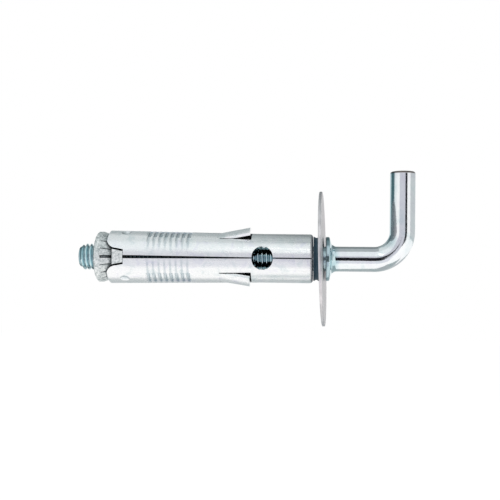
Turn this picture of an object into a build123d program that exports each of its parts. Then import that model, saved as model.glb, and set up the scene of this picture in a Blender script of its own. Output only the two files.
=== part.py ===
from build123d import *
import os
from math import asin, cos, degrees, radians, sin, sqrt, tan

# Hook anchor for masonry: a bolt bent into a hook, a slit steel sleeve round it and a cone
# nut on its thread. Turning the hook draws the cone into the sleeve, which spreads in its hole.
# The bolt lies along X with the hook arm up along +Z. The origin is on the bolt's axis at the
# wall surface. Angles round the axis start at the seam side (-Y) and rise towards +Z.

# Hook bolt: one wire with a rolled thread, an upset collar and a bent arm.
thread_diameter = 7.8
thread_pitch = 1.25
thread_length = 60.0
tip_diameter = 5.2
bolt_depth = 71.47
rod_diameter = 7.35
collar_diameter = 13.0
collar_rim_width = 1.1
collar_round = 0.4
collar_back_length = 0.6
neck_diameter = 8.7
neck_length = 1.1
arm_distance = 24.03
arm_height = 25.7
bend_radius = 8.1
arm_end_round = 0.7

# Washer: a loose stamped disc that hangs aslant in the room between ring and collar.
washer_diameter = 39.5
washer_thickness = 0.85
washer_hole_clearance = 0.45
washer_edge_round = 0.22
washer_room_clearance = 0.08
washer_swing_deg = 2.95
washer_lean_deg = 1.65

# Spacer ring: a moulded plastic ring on the rod, between the sleeve and the washer.
ring_diameter = 13.0
ring_length = 1.77
ring_land = 0.3
ring_waist_depth = 0.3
ring_edge_break = 0.12
ring_rod_clearance = 0.3
ring_sleeve_gap = 0.1

# Expansion sleeve: sheet steel, lanced and embossed flat, then rolled into a tube.
sleeve_length = 60.3
sleeve_diameter = 14.4
sleeve_sheet = 1.2
sleeve_spread = 0.7
segment_count = 3
seam_turn_deg = 0.5
seam_gap = 0.4
tail_round = 0.9
mouth_chamfer = 0.25
mouth_countersink = 0.1
slot_end_width = 0.3
slot_mouth_width = 0.98
notch_width = 4.3
notch_depth = 5.2
notch_flare = 0.4
notch_corner_round = 3.2
relief_length = 6.1
relief_width = 6.8
relief_from_tail = 14.6

# Embossed features of each sleeve segment: barb, ribbed panel and dimple. They sit a little
# to one side of the segment's middle.
emboss_turn_deg = 6.0
barb_length = 9.0
barb_width = 4.0
barb_sheet = 0.8
barb_lift = 1.97
barb_lift_shares = (1.0, 0.9, 0.9)
barb_root_overlap = 0.4
barb_slit = 0.25
barb_tip_from_tail = 18.15
rib_groove_count = 8
rib_groove_pitch = 1.67
rib_groove_width = 1.3
rib_groove_depth = 0.4
rib_fade_depth = 0.12
rib_fade_width = 11.0
rib_first_from_mouth = 12.35
panel_width = 4.2
panel_depth = 0.18
panel_corner_round = 0.8
dimple_diameter = 2.9
dimple_depth = 0.5
dimple_from_mouth = 5.25

# Cone nut: a casting whose cone wedges the sleeve open, with a lug in each slot's notch.
nut_rim_diameter = 15.0
nut_face_diameter = 12.8
nut_face_depth = 0.35
nut_rim_land = 1.15
nut_cone_deg = 20.0
nut_cone_clearance = 0.12
nut_depth_in_sleeve = 5.2
nut_thread_clearance = 0.1
nut_face_bulge_shares = (0.29, 0.71)
serration_count = 18
serration_depth = 0.2
serration_setback = 0.5
lug_groove_width = 0.85
lug_groove_depth = 0.45
lug_length = 3.1
lug_side_clearance = 0.52
lug_end_clearance = 0.15
lug_root_flare = 0.6
lug_below_sleeve = 0.3
lug_base_diameter = 9.4

# How far every cutting tool runs past what it cuts.
overrun = 1.0

# Places along the bolt, from the wall surface.
rod_radius = rod_diameter / 2
thread_radius = thread_diameter / 2
tail_radius = sleeve_diameter / 2
sleeve_tail_x = -(ring_length + ring_sleeve_gap)
sleeve_mouth_x = sleeve_tail_x - sleeve_length
relief_x = sleeve_tail_x - relief_from_tail
notch_end_x = sleeve_mouth_x + notch_depth
bolt_tip_x = -bolt_depth
thread_end_x = bolt_tip_x + thread_length
mouth_radius = tail_radius + sleeve_spread
cutter_reach = mouth_radius + overrun

# The slanted washer needs this much room between ring and collar.
washer_slope = sqrt(tan(radians(washer_swing_deg)) ** 2 + tan(radians(washer_lean_deg)) ** 2)
washer_seat_diameter = max(collar_diameter, ring_diameter)
washer_room = (
    washer_thickness * sqrt(1 + washer_slope**2)
    + washer_seat_diameter * washer_slope
    + 2 * washer_room_clearance
)
collar_x = washer_room

# Angles of the slots, and of the embossing on the segments between them.
segment_deg = 360 / segment_count
slot_angles = [seam_turn_deg + i * segment_deg for i in range(segment_count)]
emboss_angles = [angle + segment_deg / 2 + emboss_turn_deg for angle in slot_angles]


def outward(angle_deg):
    """Direction away from the axis at an angle round the bolt."""
    angle = radians(angle_deg)
    return Vector(0, -cos(angle), sin(angle))


def radial_plane(angle_deg):
    """Plane through the axis that faces outward at an angle, with its x along the bolt."""
    return Plane(origin=(0, 0, 0), x_dir=(1, 0, 0), z_dir=outward(angle_deg))


# Half plane through the axis on the seam side, with its x along the bolt and its y outward.
profile_plane = Plane(origin=(0, 0, 0), x_dir=(1, 0, 0), z_dir=(0, 0, -1))


def sleeve_radius(x):
    """Outer radius of the sleeve, which widens from the relief holes to its mouth."""
    return tail_radius + sleeve_spread * max(0, (relief_x - x) / (relief_x - sleeve_mouth_x))


# Hook bolt: the turned length from the thread's tip to the neck, then the wire bent up.
with BuildPart() as hook_bolt:
    collar_back_x = collar_x + collar_rim_width
    neck_x = collar_back_x + collar_back_length
    rod_start_x = neck_x + neck_length
    with BuildSketch(Plane.XZ):
        with BuildLine():
            Polyline(
                (bolt_tip_x, 0),
                (bolt_tip_x, tip_diameter / 2),
                (bolt_tip_x + thread_pitch, thread_radius),
                (thread_end_x, thread_radius),
                (thread_end_x + thread_pitch, rod_radius),
                (collar_x, rod_radius),
                (collar_x, collar_diameter / 2),
                (collar_back_x, collar_diameter / 2),
                (neck_x, neck_diameter / 2),
                (rod_start_x, rod_radius),
                (rod_start_x, 0),
                close=True,
            )
        make_face()
    revolve(axis=Axis.X)
    collar_rims = hook_bolt.edges().filter_by(GeomType.CIRCLE).group_by(SortBy.RADIUS)[-1]
    wall_side_rim, hook_side_rim = collar_rims.sort_by(Axis.X)
    fillet(hook_side_rim, radius=collar_round)
    chamfer(wall_side_rim, length=collar_round / 2)
    with BuildLine() as wire:
        FilletPolyline(
            (rod_start_x, 0, 0),
            (arm_distance, 0, 0),
            (arm_distance, 0, arm_height),
            radius=bend_radius,
        )
    with BuildSketch(Plane(origin=wire.line @ 0, z_dir=wire.line % 0)):
        Circle(rod_radius)
    sweep()
    arm_end = hook_bolt.faces().sort_by(Axis.Z)[-1]
    fillet(arm_end.edges(), radius=arm_end_round)
hook_bolt.part.label = "hook_bolt"


# Washer: it swings about the vertical and leans about the line of sight, as it hangs loose.
washer_normal = Vector(1, -tan(radians(washer_swing_deg)), tan(radians(washer_lean_deg)))
washer_plane = Plane(origin=(washer_room / 2, 0, 0), z_dir=washer_normal)
with BuildPart() as washer:
    with BuildSketch(washer_plane):
        Circle(washer_diameter / 2)
        Circle(rod_radius + washer_hole_clearance, mode=Mode.SUBTRACT)
    extrude(amount=washer_thickness / 2, both=True)
    rims = washer.edges().filter_by(GeomType.CIRCLE).group_by(SortBy.RADIUS)[-1]
    fillet(rims, radius=washer_edge_round)
washer.part.label = "washer"


# Spacer ring: a moulded ring with broken edges and a shallow waist.
with BuildPart() as spacer_ring:
    ring_radius = ring_diameter / 2
    ring_bore_radius = rod_radius + ring_rod_clearance
    with BuildSketch(Plane.XZ):
        with BuildLine():
            ThreePointArc(
                (-ring_land, ring_radius),
                (-ring_length / 2, ring_radius - ring_waist_depth),
                (ring_land - ring_length, ring_radius),
            )
            Polyline(
                (ring_land - ring_length, ring_radius),
                (-ring_length, ring_radius),
                (-ring_length, ring_bore_radius),
                (0, ring_bore_radius),
                (0, ring_radius),
                (-ring_land, ring_radius),
            )
        make_face()
    revolve(axis=Axis.X)
    ring_edges = spacer_ring.edges().filter_by(GeomType.CIRCLE).group_by(SortBy.RADIUS)[-1]
    ring_edges = ring_edges.sort_by(Axis.X)
    chamfer([ring_edges[0], ring_edges[-1]], length=ring_edge_break)
spacer_ring.part.label = "spacer_ring"


# One barb of the sleeve, facing the seam side: a tongue of the tube's own curve, pressed thinner
# and still flat in the tube. Its hinge is the line that it is bent out about.
barb_tip_x = sleeve_tail_x - barb_tip_from_tail
barb_root_x = barb_tip_x - barb_length
barb_back_x = barb_root_x - barb_root_overlap
with BuildPart() as barb:
    with BuildSketch(profile_plane):
        with BuildLine():
            Polyline(
                (barb_back_x, sleeve_radius(barb_back_x)),
                (barb_tip_x, sleeve_radius(barb_tip_x)),
                (barb_tip_x, sleeve_radius(barb_tip_x) - barb_sheet),
                (barb_back_x, sleeve_radius(barb_back_x) - barb_sheet),
                close=True,
            )
        make_face()
    revolve(axis=Axis.X)
    with BuildSketch(radial_plane(0)):
        with Locations(((barb_back_x + barb_tip_x) / 2, 0)):
            Rectangle(barb_tip_x - barb_back_x, barb_width)
    extrude(amount=cutter_reach, mode=Mode.INTERSECT)
barb_hinge_radius = sleeve_radius(barb_root_x) - barb_sheet / 2
barb_hinge = Axis(outward(0) * barb_hinge_radius + Vector(barb_root_x, 0, 0), (0, 0, 1))


def rib_die(depth, width, fade):
    """Die for one segment's row of grooves, facing the seam side.

    Each groove is cut by a round edge turned about the bolt. Moving that axis back by the fade
    makes the groove shallower towards its ends.
    """
    tool_radius = ((rib_groove_width / 2) ** 2 + depth**2) / (2 * depth)
    row_length = rib_groove_count * rib_groove_pitch
    first_x = sleeve_mouth_x + rib_first_from_mouth
    with BuildPart() as die:
        with BuildSketch(profile_plane):
            for i in range(rib_groove_count):
                groove_x = first_x + i * rib_groove_pitch
                with Locations((groove_x, sleeve_radius(groove_x) + tool_radius - depth)):
                    Circle(tool_radius)
        revolve(axis=Axis(outward(0) * -fade, (1, 0, 0)))
        with BuildSketch(radial_plane(0)):
            with Locations((first_x + (row_length - rib_groove_pitch) / 2, 0)):
                Rectangle(row_length + rib_groove_pitch, width)
        extrude(amount=cutter_reach + overrun, mode=Mode.INTERSECT)
    return die.part


# Deep grooves across the panel, and shallow ones that fade out towards the slots.
rib_fade_angle = asin(rib_fade_width / sleeve_diameter)
deep_rib_die = rib_die(rib_groove_depth, panel_width, 0)
fading_rib_die = rib_die(rib_fade_depth, rib_fade_width, rib_fade_depth / (1 - cos(rib_fade_angle)))

# Die for one segment's sunk panel, facing the seam side.
panel_length = rib_groove_count * rib_groove_pitch
panel_start_x = sleeve_mouth_x + rib_first_from_mouth - rib_groove_pitch / 2
panel_end_x = panel_start_x + panel_length
with BuildPart() as panel_die:
    with BuildSketch(profile_plane):
        with BuildLine():
            Polyline(
                (panel_start_x, sleeve_radius(panel_start_x) - panel_depth),
                (panel_end_x, sleeve_radius(panel_end_x) - panel_depth),
                (panel_end_x, cutter_reach),
                (panel_start_x, cutter_reach),
                close=True,
            )
        make_face()
    revolve(axis=Axis.X)
    with BuildSketch(radial_plane(0)):
        with Locations(((panel_start_x + panel_end_x) / 2, 0)):
            RectangleRounded(panel_length, panel_width, panel_corner_round)
    extrude(amount=cutter_reach + overrun, mode=Mode.INTERSECT)

# Expansion sleeve: the rolled tube, then its slots, notches, relief holes and embossing.
with BuildPart() as expansion_sleeve:
    countersink_x = sleeve_mouth_x + mouth_countersink / tan(radians(nut_cone_deg))
    with BuildSketch(Plane.XZ):
        with BuildLine():
            Polyline(
                (sleeve_tail_x, tail_radius),
                (relief_x, tail_radius),
                (sleeve_mouth_x, mouth_radius),
                (sleeve_mouth_x, mouth_radius - sleeve_sheet + mouth_countersink),
                (countersink_x, sleeve_radius(countersink_x) - sleeve_sheet),
                (relief_x, tail_radius - sleeve_sheet),
                (sleeve_tail_x, tail_radius - sleeve_sheet),
                close=True,
            )
        make_face()
    revolve(axis=Axis.X)
    end_rims = expansion_sleeve.edges().filter_by(GeomType.CIRCLE)
    tail_rim = end_rims.group_by(Axis.X)[-1].sort_by(SortBy.RADIUS)[-1]
    fillet(tail_rim, radius=tail_round)
    end_rims = expansion_sleeve.edges().filter_by(GeomType.CIRCLE)
    mouth_rim = end_rims.group_by(Axis.X)[0].sort_by(SortBy.RADIUS)[-1]
    chamfer(mouth_rim, length=mouth_chamfer)

    dimple_x = sleeve_mouth_x + dimple_from_mouth
    dimple_tool = ((dimple_diameter / 2) ** 2 + dimple_depth**2) / (2 * dimple_depth)
    dimple_tool_height = sleeve_radius(dimple_x) + dimple_tool - dimple_depth
    for i, angle in enumerate(emboss_angles):
        add(panel_die.part, rotation=(-angle, 0, 0), mode=Mode.SUBTRACT)
        add(deep_rib_die, rotation=(-angle, 0, 0), mode=Mode.SUBTRACT)
        add(fading_rib_die, rotation=(-angle, 0, 0), mode=Mode.SUBTRACT)
        with Locations(outward(angle) * dimple_tool_height + Vector(dimple_x, 0, 0)):
            Sphere(dimple_tool, mode=Mode.SUBTRACT)
        with BuildSketch(radial_plane(angle)):
            with Locations(((barb_root_x + barb_tip_x + barb_slit) / 2, 0)):
                Rectangle(barb_length + barb_slit, barb_width + 2 * barb_slit)
        extrude(amount=cutter_reach, mode=Mode.SUBTRACT)
        lift = barb_lift * barb_lift_shares[i % len(barb_lift_shares)]
        bent_barb = barb.part.rotate(barb_hinge, -degrees(asin(lift / barb_length)))
        add(bent_barb, rotation=(-angle, 0, 0))

    for angle in slot_angles:
        with BuildSketch(radial_plane(angle)):
            with BuildLine():
                Polyline(
                    (notch_end_x - overrun, slot_mouth_width / 2),
                    (relief_x, slot_end_width / 2),
                    (relief_x, -slot_end_width / 2),
                    (notch_end_x - overrun, -slot_mouth_width / 2),
                    close=True,
                )
            make_face()
            with BuildLine():
                flared_y = notch_width / 2 + notch_flare
                corner_y = flared_y + notch_corner_round
                Polyline(
                    (notch_end_x, 0),
                    (notch_end_x, notch_width / 2),
                    (sleeve_mouth_x + notch_corner_round, flared_y),
                )
                RadiusArc(
                    (sleeve_mouth_x + notch_corner_round, flared_y),
                    (sleeve_mouth_x, corner_y),
                    notch_corner_round,
                )
                Polyline(
                    (sleeve_mouth_x, corner_y),
                    (sleeve_mouth_x - overrun, corner_y),
                    (sleeve_mouth_x - overrun, 0),
                )
                mirror(about=Plane.XZ)
            make_face()
            with Locations((relief_x, 0)):
                SlotOverall(relief_width, relief_length, rotation=90)
        extrude(amount=cutter_reach, mode=Mode.SUBTRACT)

    with BuildSketch(radial_plane(seam_turn_deg)):
        with Locations(((relief_x + sleeve_tail_x + overrun) / 2, 0)):
            Rectangle(sleeve_tail_x + overrun - relief_x, seam_gap)
    extrude(amount=cutter_reach, mode=Mode.SUBTRACT)
expansion_sleeve.part.label = "expansion_sleeve"


# Cone nut: turned form first, then the serrations of its cone, the groove before each lug, the
# lugs and the bore.
with BuildPart() as cone_nut:
    cone_slope = tan(radians(nut_cone_deg))
    cone_mouth_radius = mouth_radius - sleeve_sheet + mouth_countersink - nut_cone_clearance
    cone_inner_radius = cone_mouth_radius - nut_depth_in_sleeve * cone_slope
    nut_inner_x = sleeve_mouth_x + nut_depth_in_sleeve
    cone_start_x = sleeve_mouth_x - (nut_rim_diameter / 2 - cone_mouth_radius) / cone_slope
    rim_x = cone_start_x - nut_rim_land
    nut_face_x = rim_x - nut_face_depth
    bulge_x_share, bulge_r_share = nut_face_bulge_shares
    face_rise = (nut_rim_diameter - nut_face_diameter) / 2
    with BuildSketch(Plane.XZ):
        with BuildLine():
            Line((nut_inner_x, 0), (nut_face_x, 0))
            Line((nut_face_x, 0), (nut_face_x, nut_face_diameter / 2))
            ThreePointArc(
                (nut_face_x, nut_face_diameter / 2),
                (
                    nut_face_x + nut_face_depth * bulge_x_share,
                    nut_face_diameter / 2 + face_rise * bulge_r_share,
                ),
                (rim_x, nut_rim_diameter / 2),
            )
            Polyline(
                (rim_x, nut_rim_diameter / 2),
                (cone_start_x, nut_rim_diameter / 2),
                (nut_inner_x, cone_inner_radius),
                (nut_inner_x, 0),
            )
        make_face()
    revolve(axis=Axis.X)
    serration_side = serration_depth * sqrt(2)
    serration_x = cone_start_x + serration_setback
    serration_radius = nut_rim_diameter / 2 - serration_setback * cone_slope
    serration_planes = []
    for i in range(serration_count):
        serration_out = outward(seam_turn_deg + i * 360 / serration_count)
        serration_planes.append(
            Plane(
                origin=serration_out * serration_radius + Vector(serration_x, 0, 0),
                x_dir=serration_out.cross(Vector(1, 0, 0)),
                z_dir=Vector(1, 0, 0) - serration_out * cone_slope,
            )
        )
    with BuildSketch(*serration_planes):
        Rectangle(serration_side, serration_side, rotation=45)
    extrude(amount=nut_inner_x - serration_x + overrun, mode=Mode.SUBTRACT)
    groove_planes = serration_planes[:: serration_count // segment_count]
    with BuildSketch(*groove_planes):
        Rectangle(lug_groove_width, 2 * lug_groove_depth)
    extrude(amount=nut_inner_x - serration_x + overrun, mode=Mode.SUBTRACT)
    lug_end_x = notch_end_x - lug_end_clearance
    lug_start_x = lug_end_x - lug_length
    lug_half_width = notch_width / 2 - lug_side_clearance
    lug_base_radius = lug_base_diameter / 2
    for angle in slot_angles:
        with BuildSketch(radial_plane(angle).offset(lug_base_radius)):
            with BuildLine():
                Polyline(
                    (lug_start_x, lug_half_width + lug_root_flare),
                    (lug_end_x, lug_half_width),
                    (lug_end_x, -lug_half_width),
                    (lug_start_x, -lug_half_width - lug_root_flare),
                    close=True,
                )
            make_face()
        extrude(amount=mouth_radius - lug_below_sleeve - lug_base_radius)
    with BuildSketch(Plane.YZ.offset(nut_face_x - overrun)):
        Circle(thread_radius + nut_thread_clearance)
    extrude(amount=nut_inner_x - nut_face_x + 2 * overrun, mode=Mode.SUBTRACT)
cone_nut.part.label = "cone_nut"

os.makedirs("parts", exist_ok=True)
for piece in (hook_bolt, washer, spacer_ring, expansion_sleeve, cone_nut):
    export_step(piece.part, f"parts/{piece.part.label}.step")
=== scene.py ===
from math import pi, radians

import bmesh
import bpy
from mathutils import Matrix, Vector


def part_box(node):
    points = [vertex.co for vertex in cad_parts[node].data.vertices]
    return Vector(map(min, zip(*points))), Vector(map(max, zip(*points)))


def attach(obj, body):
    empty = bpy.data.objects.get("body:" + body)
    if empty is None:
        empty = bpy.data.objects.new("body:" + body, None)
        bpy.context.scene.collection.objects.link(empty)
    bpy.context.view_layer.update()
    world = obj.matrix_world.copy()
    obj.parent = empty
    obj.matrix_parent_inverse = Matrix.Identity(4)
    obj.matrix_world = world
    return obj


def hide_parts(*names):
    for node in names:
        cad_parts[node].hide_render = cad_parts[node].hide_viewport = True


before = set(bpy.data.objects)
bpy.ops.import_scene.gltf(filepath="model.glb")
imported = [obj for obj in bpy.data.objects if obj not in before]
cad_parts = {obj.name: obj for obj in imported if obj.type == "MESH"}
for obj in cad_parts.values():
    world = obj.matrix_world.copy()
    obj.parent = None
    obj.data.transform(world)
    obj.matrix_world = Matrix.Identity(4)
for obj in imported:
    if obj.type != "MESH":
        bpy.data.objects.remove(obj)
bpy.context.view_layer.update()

scene = bpy.context.scene


# Hook bolt: one steel wire with a rolled M8 thread, an upset collar and an arm bent up cold.
# It is barrel plated with bright zinc under a thin blue passivation.
# It runs loose through washer, ring and sleeve, and its thread carries the cone nut.
bolt_low, bolt_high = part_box("hook_bolt")
bolt_tip_x = bolt_low.x
rod_radius = 0.003675
collar_radius = bolt_high.y
arm_x = bolt_high.x - rod_radius
arm_top_z = bolt_high.z
thread_pitch = 0.00125
thread_radius = 0.0039
thread_depth_share = 0.6134
thread_root_radius = thread_radius - thread_depth_share * thread_pitch
thread_length = 0.060
thread_end_x = bolt_tip_x + thread_length
thread_steps = 48
turns_before_tip = 1.9
spare_turns = 3
tip_radius = 0.0029
# The washer hangs midway between the wall surface, at 0, and the collar.
collar_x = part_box("washer")[0].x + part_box("washer")[1].x
collar_rim_width = 0.0011
collar_break = 0.0002
collar_shoulder = 0.0003
collar_back_length = 0.0006
neck_radius = 0.00435
neck_length = 0.0011
neck_blend = 0.0003
bend_radius = 0.0081
arm_end_round = 0.0007
wire_steps = 64
bend_steps = 28
round_steps = 8
same_place = 1e-6


def loop_at(bm, place, radius=None):
    """Edges round the bolt at a place along it: the open ones, or those at a radius."""
    loop = [edge for edge in bm.edges if all(abs(vert.co.x - place) < same_place for vert in edge.verts)]
    if radius is None:
        return [edge for edge in loop if edge.is_boundary]
    return [
        edge
        for edge in loop
        if all(abs(vert.co.yz.length - radius) < same_place for vert in edge.verts)
    ]


bolt = bmesh.new()

# The thread is one pitch of its profile, turned about the bolt and moved along it. Each point has its
# place as a share of the pitch, and its radius.
thread_profile = [
    (0.0, thread_root_radius),
    (0.083, thread_root_radius),
    (0.437, thread_radius),
    (0.563, thread_radius),
    (0.917, thread_root_radius),
    (1.0, thread_root_radius),
]
thread_turns = round(thread_length / thread_pitch) + spare_turns
first_turn_x = bolt_tip_x - turns_before_tip * thread_pitch
profile_verts = [
    bolt.verts.new((first_turn_x + share * thread_pitch, 0, radius)) for share, radius in thread_profile
]
profile_edges = [bolt.edges.new(pair) for pair in zip(profile_verts, profile_verts[1:])]
bmesh.ops.spin(
    bolt,
    geom=profile_verts + profile_edges,
    cent=(0, 0, 0),
    axis=(1, 0, 0),
    dvec=(thread_pitch / thread_steps, 0, 0),
    angle=thread_turns * 2 * pi,
    steps=thread_turns * thread_steps,
)
bmesh.ops.remove_doubles(bolt, verts=bolt.verts, dist=same_place)

# The tip is turned to a cone before rolling, and the last pitch runs out into the rod.
tip_slope = (thread_radius - tip_radius) / thread_pitch
for vert in bolt.verts:
    radius = Vector((0, vert.co.y, vert.co.z)).length
    run_out = min(1, max(0, (vert.co.x - thread_end_x) / thread_pitch + 1))
    wanted = min(radius, max(tip_radius, tip_radius + tip_slope * (vert.co.x - bolt_tip_x)))
    wanted += (rod_radius - wanted) * run_out
    vert.co.y *= wanted / radius
    vert.co.z *= wanted / radius
for place, direction in ((bolt_tip_x, -1), (thread_end_x, 1)):
    bmesh.ops.bisect_plane(
        bolt,
        geom=bolt.verts[:] + bolt.edges[:] + bolt.faces[:],
        plane_co=(place, 0, 0),
        plane_no=(direction, 0, 0),
        clear_outer=True,
    )
bmesh.ops.edgeloop_fill(bolt, edges=loop_at(bolt, bolt_tip_x))

# The plain shank, the upset collar and its neck are turned about the same axis.
collar_back_x = collar_x + collar_rim_width
neck_x = collar_back_x + collar_back_length
rod_start_x = neck_x + neck_length
shank_x = thread_end_x + thread_pitch
bend_start_x = arm_x - bend_radius
shank_profile = [
    (shank_x, rod_radius),
    (collar_x, rod_radius),
    (collar_x, collar_radius),
    (collar_back_x, collar_radius),
    (neck_x, neck_radius),
    (rod_start_x, rod_radius),
    (bend_start_x, rod_radius),
]
shank_verts = [bolt.verts.new((x, 0, radius)) for x, radius in shank_profile]
shank_edges = [bolt.edges.new(pair) for pair in zip(shank_verts, shank_verts[1:])]
bmesh.ops.spin(
    bolt,
    geom=shank_verts + shank_edges,
    cent=(0, 0, 0),
    axis=(1, 0, 0),
    angle=2 * pi,
    steps=wire_steps,
    use_merge=True,
)
bmesh.ops.bridge_loops(bolt, edges=loop_at(bolt, thread_end_x) + loop_at(bolt, shank_x))
for place, radius, width, segments in (
    (collar_x, collar_radius, collar_break, 1),
    (collar_back_x, collar_radius, collar_shoulder, round_steps),
    (neck_x, neck_radius, neck_blend, round_steps),
    (rod_start_x, rod_radius, neck_blend, round_steps // 2),
):
    bmesh.ops.bevel(
        bolt,
        geom=loop_at(bolt, place, radius),
        offset=width,
        affect="EDGES",
        segments=segments,
        profile=0.5,
        material=-1,
    )

# The wire's end is bent up round a former, runs straight to the arm's end and is rounded there.
bend_loop = loop_at(bolt, bend_start_x)
bent = bmesh.ops.spin(
    bolt,
    geom=bend_loop + list({vert for edge in bend_loop for vert in edge.verts}),
    cent=(bend_start_x, 0, bend_radius),
    axis=(0, -1, 0),
    angle=pi / 2,
    steps=bend_steps,
)
arm_loop = [item for item in bent["geom_last"] if isinstance(item, bmesh.types.BMEdge)]
raised = bmesh.ops.extrude_edge_only(bolt, edges=arm_loop)["geom"]
raised_verts = [item for item in raised if isinstance(item, bmesh.types.BMVert)]
bmesh.ops.translate(bolt, verts=raised_verts, vec=(0, 0, arm_top_z - bend_radius))
top_loop = [edge for edge in bolt.edges if edge.is_boundary and edge.verts[0].co.z > arm_top_z - same_place]
bmesh.ops.edgeloop_fill(bolt, edges=top_loop)
bmesh.ops.bevel(
    bolt,
    geom=top_loop,
    offset=arm_end_round,
    affect="EDGES",
    segments=round_steps,
    profile=0.5,
    material=-1,
)
bmesh.ops.recalc_face_normals(bolt, faces=bolt.faces)


def mesh_piece(name, bm, sharp_deg):
    """Object from a finished bmesh, smooth apart from edges sharper than an angle."""
    mesh = bpy.data.meshes.new(name)
    bm.to_mesh(mesh)
    bm.free()
    mesh.shade_smooth()
    mesh.set_sharp_from_angle(angle=radians(sharp_deg))
    piece = bpy.data.objects.new(name, mesh)
    scene.collection.objects.link(piece)
    return piece


def coat(piece, finish):
    """Give a piece one finish, in place of any that it has."""
    piece.data.materials.clear()
    piece.data.materials.append(finish)


def surface_marks():
    """Group with the marks of a plated or moulded surface: patches, fine grain and drawn streaks."""
    group = bpy.data.node_groups.new("surface_marks", "ShaderNodeTree")
    group.interface.new_socket("Patch scale", in_out="INPUT", socket_type="NodeSocketFloat")
    group.interface.new_socket("Grain scale", in_out="INPUT", socket_type="NodeSocketFloat")
    for name in ("Patches", "Grain", "Streaks"):
        group.interface.new_socket(name, in_out="OUTPUT", socket_type="NodeSocketFloat")
    nodes, links = group.nodes, group.links
    ins = nodes.new("NodeGroupInput")
    outs = nodes.new("NodeGroupOutput")
    place = nodes.new("ShaderNodeTexCoord")
    patches = nodes.new("ShaderNodeTexNoise")
    patches.inputs["Detail"].default_value = 4
    patches.inputs["Roughness"].default_value = 0.6
    patches.inputs["Distortion"].default_value = 0.6
    grain = nodes.new("ShaderNodeTexNoise")
    grain.inputs["Detail"].default_value = 2
    stretch = nodes.new("ShaderNodeMapping")
    stretch.inputs["Scale"].default_value = (90, 1500, 1500)
    streaks = nodes.new("ShaderNodeTexNoise")
    streaks.inputs["Scale"].default_value = 1
    streaks.inputs["Detail"].default_value = 2
    links.new(place.outputs["Object"], patches.inputs["Vector"])
    links.new(place.outputs["Object"], grain.inputs["Vector"])
    links.new(place.outputs["Object"], stretch.inputs["Vector"])
    links.new(stretch.outputs["Vector"], streaks.inputs["Vector"])
    links.new(ins.outputs["Patch scale"], patches.inputs["Scale"])
    links.new(ins.outputs["Grain scale"], grain.inputs["Scale"])
    links.new(patches.outputs["Fac"], outs.inputs["Patches"])
    links.new(grain.outputs["Fac"], outs.inputs["Grain"])
    links.new(streaks.outputs["Fac"], outs.inputs["Streaks"])
    return group


def depth_below():
    """Group with the depth of a point below a cone or cylinder round the bolt.

    The cone has one radius up to a first place along the bolt and another from a second place on.
    """
    group = bpy.data.node_groups.new("depth_below", "ShaderNodeTree")
    for name in ("First place", "Second place", "First radius", "Second radius"):
        group.interface.new_socket(name, in_out="INPUT", socket_type="NodeSocketFloat")
    group.interface.new_socket("Depth", in_out="OUTPUT", socket_type="NodeSocketFloat")
    nodes, links = group.nodes, group.links
    ins = nodes.new("NodeGroupInput")
    outs = nodes.new("NodeGroupOutput")
    place = nodes.new("ShaderNodeTexCoord")
    along = nodes.new("ShaderNodeSeparateXYZ")
    across = nodes.new("ShaderNodeVectorMath")
    across.operation = "MULTIPLY"
    across.inputs[1].default_value = (0, 1, 1)
    radius = nodes.new("ShaderNodeVectorMath")
    radius.operation = "LENGTH"
    cone = nodes.new("ShaderNodeMapRange")
    depth = nodes.new("ShaderNodeMath")
    depth.operation = "SUBTRACT"
    links.new(place.outputs["Object"], along.inputs["Vector"])
    links.new(place.outputs["Object"], across.inputs[0])
    links.new(across.outputs["Vector"], radius.inputs[0])
    links.new(along.outputs["X"], cone.inputs["Value"])
    links.new(ins.outputs["First place"], cone.inputs["From Min"])
    links.new(ins.outputs["Second place"], cone.inputs["From Max"])
    links.new(ins.outputs["First radius"], cone.inputs["To Min"])
    links.new(ins.outputs["Second radius"], cone.inputs["To Max"])
    links.new(cone.outputs["Result"], depth.inputs[0])
    links.new(radius.outputs["Value"], depth.inputs[1])
    links.new(depth.outputs["Value"], outs.inputs["Depth"])
    return group


marks_group = surface_marks()
depth_group = depth_below()


def colour_stops(nodes, stops):
    """Colour ramp with the given places and colours."""
    ramp = nodes.new("ShaderNodeValToRGB")
    while len(ramp.color_ramp.elements) < len(stops):
        ramp.color_ramp.elements.new(1)
    for element, (position, colour) in zip(ramp.color_ramp.elements, stops):
        element.position = position
        element.color = (*colour, 1)
    return ramp


def zinc_finish(name, patch_scale, grain_scale, tint_mark, tints, roughnesses, bump_height):
    """Plated metal: a tint that follows one of the marks, drawn streaks and a fine grain."""
    finish = bpy.data.materials.new(name)
    finish.use_nodes = True
    nodes, links = finish.node_tree.nodes, finish.node_tree.links
    metal = nodes["Principled BSDF"]
    metal.inputs["Metallic"].default_value = 1
    marks = nodes.new("ShaderNodeGroup")
    marks.node_tree = marks_group
    marks.inputs["Patch scale"].default_value = patch_scale
    marks.inputs["Grain scale"].default_value = grain_scale
    tint = colour_stops(nodes, tints)
    gloss = nodes.new("ShaderNodeMapRange")
    gloss.inputs["From Min"].default_value = 0.3
    gloss.inputs["From Max"].default_value = 0.7
    gloss.inputs["To Min"].default_value = roughnesses[0]
    gloss.inputs["To Max"].default_value = roughnesses[1]
    bump = nodes.new("ShaderNodeBump")
    bump.inputs["Strength"].default_value = 1
    bump.inputs["Distance"].default_value = bump_height
    links.new(marks.outputs[tint_mark], tint.inputs["Fac"])
    links.new(marks.outputs["Streaks"], gloss.inputs["Value"])
    links.new(marks.outputs["Grain"], bump.inputs["Height"])
    links.new(tint.outputs["Color"], metal.inputs["Base Color"])
    links.new(gloss.outputs["Result"], metal.inputs["Roughness"])
    links.new(bump.outputs["Normal"], metal.inputs["Normal"])
    return finish


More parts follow.
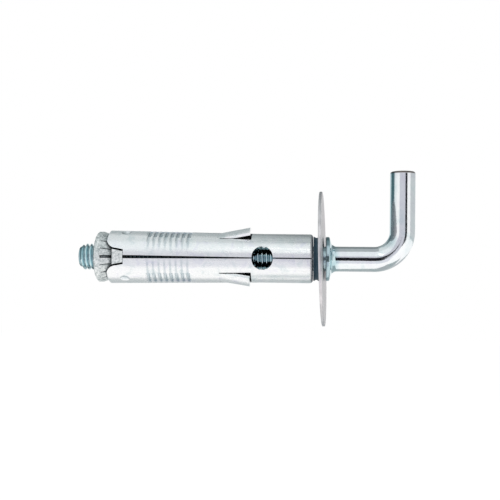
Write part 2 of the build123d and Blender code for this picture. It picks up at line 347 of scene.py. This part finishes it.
def shade_by(finish, value, low, high, stops, mask=None):
    """Multiply a finish's colour by a ramp over a value, from a low to a high end, where a mask is 1."""
    nodes, links = finish.node_tree.nodes, finish.node_tree.links
    base = nodes["Principled BSDF"].inputs["Base Color"]
    span = nodes.new("ShaderNodeMapRange")
    span.inputs["From Min"].default_value = low
    span.inputs["From Max"].default_value = high
    ramp = colour_stops(nodes, stops)
    shaded = nodes.new("ShaderNodeMix")
    shaded.data_type = "RGBA"
    shaded.blend_type = "MULTIPLY"
    shaded.inputs["Factor"].default_value = 1
    if mask is not None:
        links.new(mask, shaded.inputs["Factor"])
    links.new(value, span.inputs["Value"])
    links.new(span.outputs["Result"], ramp.inputs["Fac"])
    links.new(base.links[0].from_socket, shaded.inputs["A"])
    links.new(ramp.outputs["Color"], shaded.inputs["B"])
    links.new(shaded.outputs["Result"], base)


def place_along(finish):
    """Sockets with the place of a point along each axis of the piece."""
    nodes, links = finish.node_tree.nodes, finish.node_tree.links
    place = nodes.new("ShaderNodeTexCoord")
    axes = nodes.new("ShaderNodeSeparateXYZ")
    links.new(place.outputs["Object"], axes.inputs["Vector"])
    return axes.outputs


def math_node(owner, operation, *values):
    """Socket with the result of a sum on sockets and numbers, in a finish or a world."""
    node = owner.node_tree.nodes.new("ShaderNodeMath")
    node.operation = operation
    for socket, value in zip(node.inputs, values):
        if isinstance(value, bpy.types.NodeSocket):
            owner.node_tree.links.new(value, socket)
        else:
            socket.default_value = value
    return node.outputs["Value"]


def ramp_mask(finish, value, off, on):
    """Socket that rises from 0 where a value is at its off end to 1 at its on end."""
    nodes, links = finish.node_tree.nodes, finish.node_tree.links
    span = nodes.new("ShaderNodeMapRange")
    span.inputs["From Min"].default_value = off
    span.inputs["From Max"].default_value = on
    links.new(value, span.inputs["Value"])
    return span.outputs["Result"]


def shade_recess(finish, places, radii, low, high, stops):
    """Darken a finish by its depth below a cone round the bolt: painted shade in recesses."""
    depth = finish.node_tree.nodes.new("ShaderNodeGroup")
    depth.node_tree = depth_group
    depth.inputs["First place"].default_value = places[0]
    depth.inputs["Second place"].default_value = places[1]
    depth.inputs["First radius"].default_value = radii[0]
    depth.inputs["Second radius"].default_value = radii[1]
    shade_by(finish, depth.outputs["Depth"], low, high, stops)


bright_zinc = zinc_finish(
    "bright_zinc",
    patch_scale=220,
    grain_scale=1800,
    tint_mark="Patches",
    tints=((0.30, (0.74, 0.82, 0.84)), (0.48, (0.90, 0.92, 0.93)), (0.68, (0.84, 0.84, 0.88))),
    roughnesses=(0.07, 0.14),
    bump_height=0.000009,
)

# Painted shade: the thread gets darker and bluer from its crests down to its roots.
crest_margin = 0.0004
root_depth = 0.0008
shade_recess(
    bright_zinc,
    places=(thread_end_x, thread_end_x + thread_pitch),
    radii=(thread_radius, 0),
    low=-crest_margin,
    high=root_depth,
    stops=(
        (0.0, (1, 1, 1)),
        (0.3, (0.88, 1.0, 1.0)),
        (0.65, (0.62, 0.78, 0.82)),
        (0.95, (0.34, 0.46, 0.49)),
    ),
)

# Painted shade: the inner side of bend and arm is darkened to a deeper blue-green.
inner_shade_start_x = arm_x - 0.5 * rod_radius
inner_shade_full_x = arm_x - 0.9 * rod_radius
inner_shade_start_z = 0.8 * rod_radius
inner_shade_full_z = 1.6 * rod_radius
bolt_place = place_along(bright_zinc)
inner_side = ramp_mask(bright_zinc, bolt_place["X"], inner_shade_start_x, inner_shade_full_x)
above_rod = ramp_mask(bright_zinc, bolt_place["Z"], inner_shade_start_z, inner_shade_full_z)
shade_by(
    bright_zinc,
    math_node(bright_zinc, "MULTIPLY", inner_side, above_rod),
    low=0,
    high=1,
    stops=((0.0, (1, 1, 1)), (1.0, (0.44, 0.60, 0.63))),
)

# Within nut and sleeve the bolt lies in their shade, apart from where the relief holes let in light.
bolt_shade_start_x = -0.0628
bolt_shade_end_x = -0.0003
shade_by(
    bright_zinc,
    bolt_place["X"],
    low=bolt_shade_start_x,
    high=bolt_shade_end_x,
    stops=(
        (0.0, (1, 1, 1)),
        (0.03, (0.24, 0.28, 0.29)),
        (0.35, (0.10, 0.11, 0.12)),
        (0.67, (0.10, 0.11, 0.12)),
        (0.69, (1, 1, 1)),
        (0.79, (1, 1, 1)),
        (0.81, (0.10, 0.11, 0.12)),
        (0.96, (0.10, 0.11, 0.12)),
        (0.99, (1, 1, 1)),
    ),
)

# Painted shade: the collar is dark in its gap to the washer, and it and its neck are darkened to a
# blue-green.
collar_shade_start_x = collar_x - 0.0025
collar_shade_end_x = collar_x + 0.006
shade_by(
    bright_zinc,
    bolt_place["X"],
    low=collar_shade_start_x,
    high=collar_shade_end_x,
    stops=(
        (0.0, (1, 1, 1)),
        (0.05, (0.34, 0.42, 0.45)),
        (0.30, (0.40, 0.50, 0.53)),
        (0.40, (0.62, 0.76, 0.79)),
        (0.60, (0.66, 0.82, 0.84)),
        (0.80, (1, 1, 1)),
    ),
)

# The arm's cut end is dull and brownish.
shade_by(
    bright_zinc,
    bolt_place["Z"],
    low=arm_top_z - arm_end_round,
    high=arm_top_z,
    stops=((0.05, (1, 1, 1)), (0.2, (0.24, 0.20, 0.18))),
)
hook_wire = mesh_piece("hook_wire", bolt, sharp_deg=32)
coat(hook_wire, bright_zinc)
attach(hook_wire, "hook")
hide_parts("hook_bolt")


# Cone nut: a small zinc casting with a plain rim and a serrated cone, left dull from the mould.
# It is screwed on the bolt's tip, and its three lugs sit in the sleeve's notches.
nut_rim_radius = 0.0075
nut_cone_start_x = -0.06442
nut_cone_end_radius = 0.00479
nut_groove_depth = 0.0005
nut_gap_reach = 0.0025
cast_zinc = zinc_finish(
    "cast_zinc",
    patch_scale=1500,
    grain_scale=3600,
    tint_mark="Patches",
    tints=((0.34, (0.44, 0.48, 0.48)), (0.5, (0.72, 0.75, 0.74)), (0.62, (0.94, 0.95, 0.94))),
    roughnesses=(0.45, 0.60),
    bump_height=0.00004,
)

# Painted shade: the grooves between the serrations are darker, and so is what lies close to sleeve and
# bolt.
shade_recess(
    cast_zinc,
    places=(nut_cone_start_x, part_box("cone_nut")[1].x),
    radii=(nut_rim_radius, nut_cone_end_radius),
    low=0,
    high=nut_groove_depth,
    stops=((0.1, (1, 1, 1)), (0.35, (0.66, 0.68, 0.69)), (0.9, (0.40, 0.42, 0.43))),
)
gap_shade = cast_zinc.node_tree.nodes.new("ShaderNodeAmbientOcclusion")
gap_shade.samples = 16
gap_shade.inputs["Distance"].default_value = nut_gap_reach
shade_by(
    cast_zinc,
    gap_shade.outputs["AO"],
    low=0,
    high=1,
    stops=((0.35, (0.02, 0.02, 0.03)), (0.55, (0.30, 0.32, 0.33)), (0.72, (1, 1, 1))),
)
coat(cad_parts["cone_nut"], cast_zinc)


# Expansion sleeve: sheet steel, slit, lanced and embossed flat, then rolled into a tube and plated.
# It lies round the bolt, and the cone nut wedges its mouth open.
sleeve_tail_radius = 0.0072
sleeve_mouth_radius = 0.0079
sleeve_relief_x = -0.01647
sleeve_mouth_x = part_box("expansion_sleeve")[0].x
sleeve_tail_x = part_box("expansion_sleeve")[1].x
sleeve_sheet = 0.0012
sleeve_segments = 3
rib_pitch = 0.00167
rib_count = 8
rib_first_x = sleeve_mouth_x + 0.01235
rib_turn_deg = 6
tail_shade_width = 0.0009
satin_zinc = zinc_finish(
    "satin_zinc",
    patch_scale=330,
    grain_scale=2200,
    tint_mark="Patches",
    tints=(
        (0.30, (0.76, 0.81, 0.82)),
        (0.46, (0.91, 0.92, 0.92)),
        (0.56, (0.93, 0.93, 0.93)),
        (0.70, (0.82, 0.82, 0.88)),
    ),
    roughnesses=(0.22, 0.34),
    bump_height=0.00002,
)

# Painted shade: the sunk panels are a little darker, and the edges of the slots get black towards the bore.
shade_recess(
    satin_zinc,
    places=(sleeve_mouth_x, sleeve_relief_x),
    radii=(sleeve_mouth_radius, sleeve_tail_radius),
    low=0,
    high=sleeve_sheet,
    stops=(
        (0.06, (1, 1, 1)),
        (0.16, (0.95, 0.97, 0.98)),
        (0.42, (0.80, 0.84, 0.86)),
        (0.60, (0.08, 0.09, 0.10)),
        (0.95, (0.01, 0.01, 0.015)),
    ),
)


def segment_wave(finish, turn_deg):
    """Socket that is 1 along the sleeve's slots and -1 midway between them, all turned by an angle."""
    place = place_along(finish)
    turn = math_node(finish, "ARCTAN2", place["Z"], place["Y"])
    phase = pi + radians(sleeve_segments * turn_deg)
    return math_node(finish, "COSINE", math_node(finish, "MULTIPLY_ADD", turn, sleeve_segments, phase))


# Painted shade of the ribs: grey lines across each segment, which fade out towards the slots.
sleeve_place = place_along(satin_zinc)
ribs_middle_x = rib_first_x + (rib_count - 1) * rib_pitch / 2
rib_row = math_node(satin_zinc, "COMPARE", sleeve_place["X"], ribs_middle_x, rib_count * rib_pitch / 2)
rib_start = math_node(satin_zinc, "SUBTRACT", sleeve_place["X"], rib_first_x)
rib_phase = math_node(satin_zinc, "PINGPONG", rib_start, rib_pitch / 2)
rib_fade = ramp_mask(satin_zinc, segment_wave(satin_zinc, rib_turn_deg), off=0.97, on=0.5)
shade_by(
    satin_zinc,
    rib_phase,
    low=0,
    high=rib_pitch / 2,
    stops=((0.2, (0.74, 0.78, 0.80)), (0.6, (1, 1, 1))),
    mask=math_node(satin_zinc, "MULTIPLY", rib_row, rib_fade),
)

# Painted shade: the sleeve gets dark towards its cut edge at the tail, beside the ring.
shade_by(
    satin_zinc,
    sleeve_place["X"],
    low=sleeve_tail_x - tail_shade_width,
    high=sleeve_tail_x,
    stops=((0.2, (1, 1, 1)), (0.6, (0.50, 0.54, 0.57)), (0.95, (0.16, 0.19, 0.23))),
)
coat(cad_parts["expansion_sleeve"], satin_zinc)


# Spacer ring: a short moulded ring of dark blue-grey plastic, pushed on the rod.
# It keeps the sleeve off the washer.
dark_plastic = bpy.data.materials.new("dark_plastic")
dark_plastic.use_nodes = True
plastic_nodes, plastic_links = dark_plastic.node_tree.nodes, dark_plastic.node_tree.links
plastic = plastic_nodes["Principled BSDF"]
plastic_marks = plastic_nodes.new("ShaderNodeGroup")
plastic_marks.node_tree = marks_group
plastic_marks.inputs["Patch scale"].default_value = 400
plastic_marks.inputs["Grain scale"].default_value = 3000
plastic_tint = colour_stops(plastic_nodes, ((0.3, (0.035, 0.080, 0.115)), (0.7, (0.06, 0.115, 0.16))))
plastic_gloss = plastic_nodes.new("ShaderNodeMapRange")
plastic_gloss.inputs["To Min"].default_value = 0.35
plastic_gloss.inputs["To Max"].default_value = 0.55
plastic.inputs["Specular IOR Level"].default_value = 0.2
plastic_links.new(plastic_marks.outputs["Patches"], plastic_tint.inputs["Fac"])
plastic_links.new(plastic_marks.outputs["Grain"], plastic_gloss.inputs["Value"])
plastic_links.new(plastic_tint.outputs["Color"], plastic.inputs["Base Color"])
plastic_links.new(plastic_gloss.outputs["Result"], plastic.inputs["Roughness"])
coat(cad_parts["spacer_ring"], dark_plastic)


# Washer: a disc stamped from thin steel sheet and plated a pale satin zinc.
# It hangs loose on the rod between ring and collar.
washer_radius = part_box("washer")[1].y
washer_rim_width = 0.0004
washer_zinc = zinc_finish(
    "washer_zinc",
    patch_scale=260,
    grain_scale=2500,
    tint_mark="Patches",
    tints=((0.32, (0.58, 0.56, 0.57)), (0.52, (0.72, 0.69, 0.70)), (0.68, (0.82, 0.79, 0.80))),
    roughnesses=(0.32, 0.42),
    bump_height=0.000010,
)

# Painted shade: the faces are darkened, so the stamped rim is brighter than them.
shade_recess(
    washer_zinc,
    places=(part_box("washer")[0].x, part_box("washer")[1].x),
    radii=(washer_radius, washer_radius),
    low=0,
    high=washer_rim_width,
    stops=((0.3, (1, 1, 1)), (0.9, (0.70, 0.70, 0.71))),
)
coat(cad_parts["washer"], washer_zinc)


# Floor and background: a matt white sheet far under the part, and a white room all round it.
# Both are plain white to the camera and in the plating, and light the part more softly than that.
floor_z = -0.085
floor_size = 1.2
floor_mesh = bmesh.new()
bmesh.ops.create_grid(floor_mesh, x_segments=1, y_segments=1, size=floor_size / 2)
bmesh.ops.translate(floor_mesh, verts=floor_mesh.verts, vec=(0, 0, floor_z))
floor = mesh_piece("floor", floor_mesh, sharp_deg=30)


def seen_or_mirrored(owner):
    """Socket that is 1 for rays from the camera and for what metal and glass show of them."""
    rays = owner.node_tree.nodes.new("ShaderNodeLightPath")
    seen = rays.outputs["Is Camera Ray"]
    for name in ("Is Glossy Ray", "Is Transmission Ray"):
        seen = math_node(owner, "MAXIMUM", seen, rays.outputs[name])
    return seen


white_sheet = bpy.data.materials.new("white_sheet")
white_sheet.use_nodes = True
sheet_nodes, sheet_links = white_sheet.node_tree.nodes, white_sheet.node_tree.links
sheet = sheet_nodes["Principled BSDF"]
sheet.inputs["Base Color"].default_value = (0.8, 0.8, 0.8, 1)
sheet.inputs["Roughness"].default_value = 0.8
sheet.inputs["Specular IOR Level"].default_value = 0
sheet_white = sheet_nodes.new("ShaderNodeEmission")
sheet_white.inputs["Strength"].default_value = 0.5
sheet_lit = sheet_nodes.new("ShaderNodeAddShader")
sheet_by_ray = sheet_nodes.new("ShaderNodeMixShader")
sheet_links.new(sheet.outputs["BSDF"], sheet_lit.inputs[0])
sheet_links.new(sheet_white.outputs["Emission"], sheet_lit.inputs[1])
sheet_links.new(seen_or_mirrored(white_sheet), sheet_by_ray.inputs["Fac"])
sheet_links.new(sheet.outputs["BSDF"], sheet_by_ray.inputs[1])
sheet_links.new(sheet_lit.outputs["Shader"], sheet_by_ray.inputs[2])
sheet_links.new(sheet_by_ray.outputs["Shader"], sheet_nodes["Material Output"].inputs["Surface"])
coat(floor, white_sheet)

world = bpy.data.worlds.new("white_room")
scene.world = world
world.use_nodes = True
room, room_links = world.node_tree.nodes, world.node_tree.links
soft_light = room["Background"]
soft_light.inputs["Color"].default_value = (1, 1, 1, 1)
soft_light.inputs["Strength"].default_value = 0.6
white_background = room.new("ShaderNodeBackground")
white_background.inputs["Color"].default_value = (1, 1, 1, 1)
white_background.inputs["Strength"].default_value = 1
room_by_ray = room.new("ShaderNodeMixShader")
room_links.new(seen_or_mirrored(world), room_by_ray.inputs["Fac"])
room_links.new(soft_light.outputs["Background"], room_by_ray.inputs[1])
room_links.new(white_background.outputs["Background"], room_by_ray.inputs[2])
room_links.new(room_by_ray.outputs["Shader"], room["World Output"].inputs["Surface"])


# Light: one large softbox above the camera, and cards round the part that show only in its
# plating, so that the round forms get the soft grey edges and dark lines of the photograph.
part_middle = Vector((-0.02052, 0, 0.00242))
rod_middle = Vector((0.0125, 0, 0))
softbox_place = (-0.02, -0.7, 0.7)


def face_part(thing, place, aim=part_middle):
    """Put a light, card or camera at a place, turned to a point of the part."""
    thing.location = place
    thing.rotation_euler = (thing.location - aim).to_track_quat("Z", "Y").to_euler()


softbox_light = bpy.data.lights.new("softbox", "AREA")
softbox_light.shape = "RECTANGLE"
softbox_light.size = 1.2
softbox_light.size_y = 0.7
softbox_light.energy = 2
softbox = bpy.data.objects.new("softbox", softbox_light)
scene.collection.objects.link(softbox)
softbox.visible_glossy = False
face_part(softbox, softbox_place)


def reflection_card(name, place, width, height, colour, aim):
    """A flat card that only reflections see."""
    card_mesh = bmesh.new()
    bmesh.ops.create_grid(card_mesh, x_segments=1, y_segments=1, size=0.5)
    bmesh.ops.scale(card_mesh, verts=card_mesh.verts, vec=(width, height, 1))
    card = mesh_piece(name, card_mesh, sharp_deg=30)
    face_part(card, place, aim)
    paint = bpy.data.materials.new(name)
    paint.use_nodes = True
    matt = paint.node_tree.nodes["Principled BSDF"]
    matt.inputs["Base Color"].default_value = (0, 0, 0, 1)
    matt.inputs["Specular IOR Level"].default_value = 0
    matt.inputs["Emission Color"].default_value = (*colour, 1)
    matt.inputs["Emission Strength"].default_value = 1
    coat(card, paint)
    card.visible_camera = False
    card.visible_diffuse = False
    card.visible_transmission = False
    card.visible_shadow = False


for name, place, width, height, colour, aim in (
    ("dark_bar_before_rod", (0.0145, -0.03, 0), 0.0165, 0.0145, (0.006, 0.007, 0.01), rod_middle),
    ("grey_bar_before_collar", (0.0035, -0.03, 0), 0.005, 0.0145, (0.14, 0.16, 0.17), rod_middle),
    ("dark_strip_at_right", (0.133, -0.2138, 0.033), 0.075, 0.12, (0.02, 0.022, 0.028), part_middle),
    ("lavender_card_by_camera", (-0.0185, -0.27, 0.03), 0.273, 0.2, (0.62, 0.63, 0.69), part_middle),
    ("lavender_card_below", (-0.03, -0.105, -0.075), 0.2, 0.095, (0.78, 0.79, 0.85), part_middle),
    ("pale_card_above_camera", (-0.02, -0.563, 0.583), 2.4, 0.86, (0.86, 0.91, 0.93), part_middle),
    ("white_card_above_tail", (-0.021, -0.5, 0.35), 0.035, 0.35, (1.9, 1.88, 1.8), part_middle),
    ("grey_card_over_sleeve", (-0.39, -0.02, 0.8), 0.66, 0.8, (0.72, 0.77, 0.78), part_middle),
    ("grey_card_overhead", (0.2, -0.02, 0.85), 1.6, 0.8, (0.42, 0.47, 0.48), part_middle),
    ("grey_card_above_sleeve", (-0.21, 0.42, 0.38), 0.29, 0.53, (0.44, 0.49, 0.50), part_middle),
    ("grey_card_above_behind", (-0.02, 0.6, 0.54), 2.4, 0.75, (0.24, 0.27, 0.275), part_middle),
    ("grey_card_below_behind", (-0.03, 0.055, -0.062), 0.3, 0.1, (0.54, 0.58, 0.59), part_middle),
    ("grey_card_below_tail", (-0.011, -0.002, -0.06), 0.02, 0.025, (0.58, 0.64, 0.65), part_middle),
    ("grey_card_below_rod", (0.035, 0.0195, -0.061), 0.1, 0.045, (0.42, 0.47, 0.48), rod_middle),
    ("teal_card_at_left", (-0.5, 0.18, 0.06), 0.45, 0.5, (0.14, 0.22, 0.24), part_middle),
    ("grey_card_at_right", (0.494, 0.171, 0.06), 0.9, 0.5, (0.58, 0.62, 0.63), part_middle),
):
    reflection_card(name, place, width, height, colour, aim)


# Camera: close to the part, beside the spacer ring and level with the bolt, aimed at the middle of
# the part and turned a little about its line of sight.
camera_place = Vector((-0.00237, -0.23, 0.0))
view_width = 0.14815
roll_deg = 0.6
camera_data = bpy.data.cameras.new("camera")
camera_data.sensor_width = 36
camera_data.lens = camera_data.sensor_width * (camera_place - part_middle).length / view_width
camera_data.clip_start = 0.01
camera = bpy.data.objects.new("camera", camera_data)
scene.collection.objects.link(camera)
face_part(camera, camera_place)
camera.rotation_euler.rotate_axis("Z", radians(roll_deg))
scene.camera = camera
scene.view_settings.view_transform = "Standard"
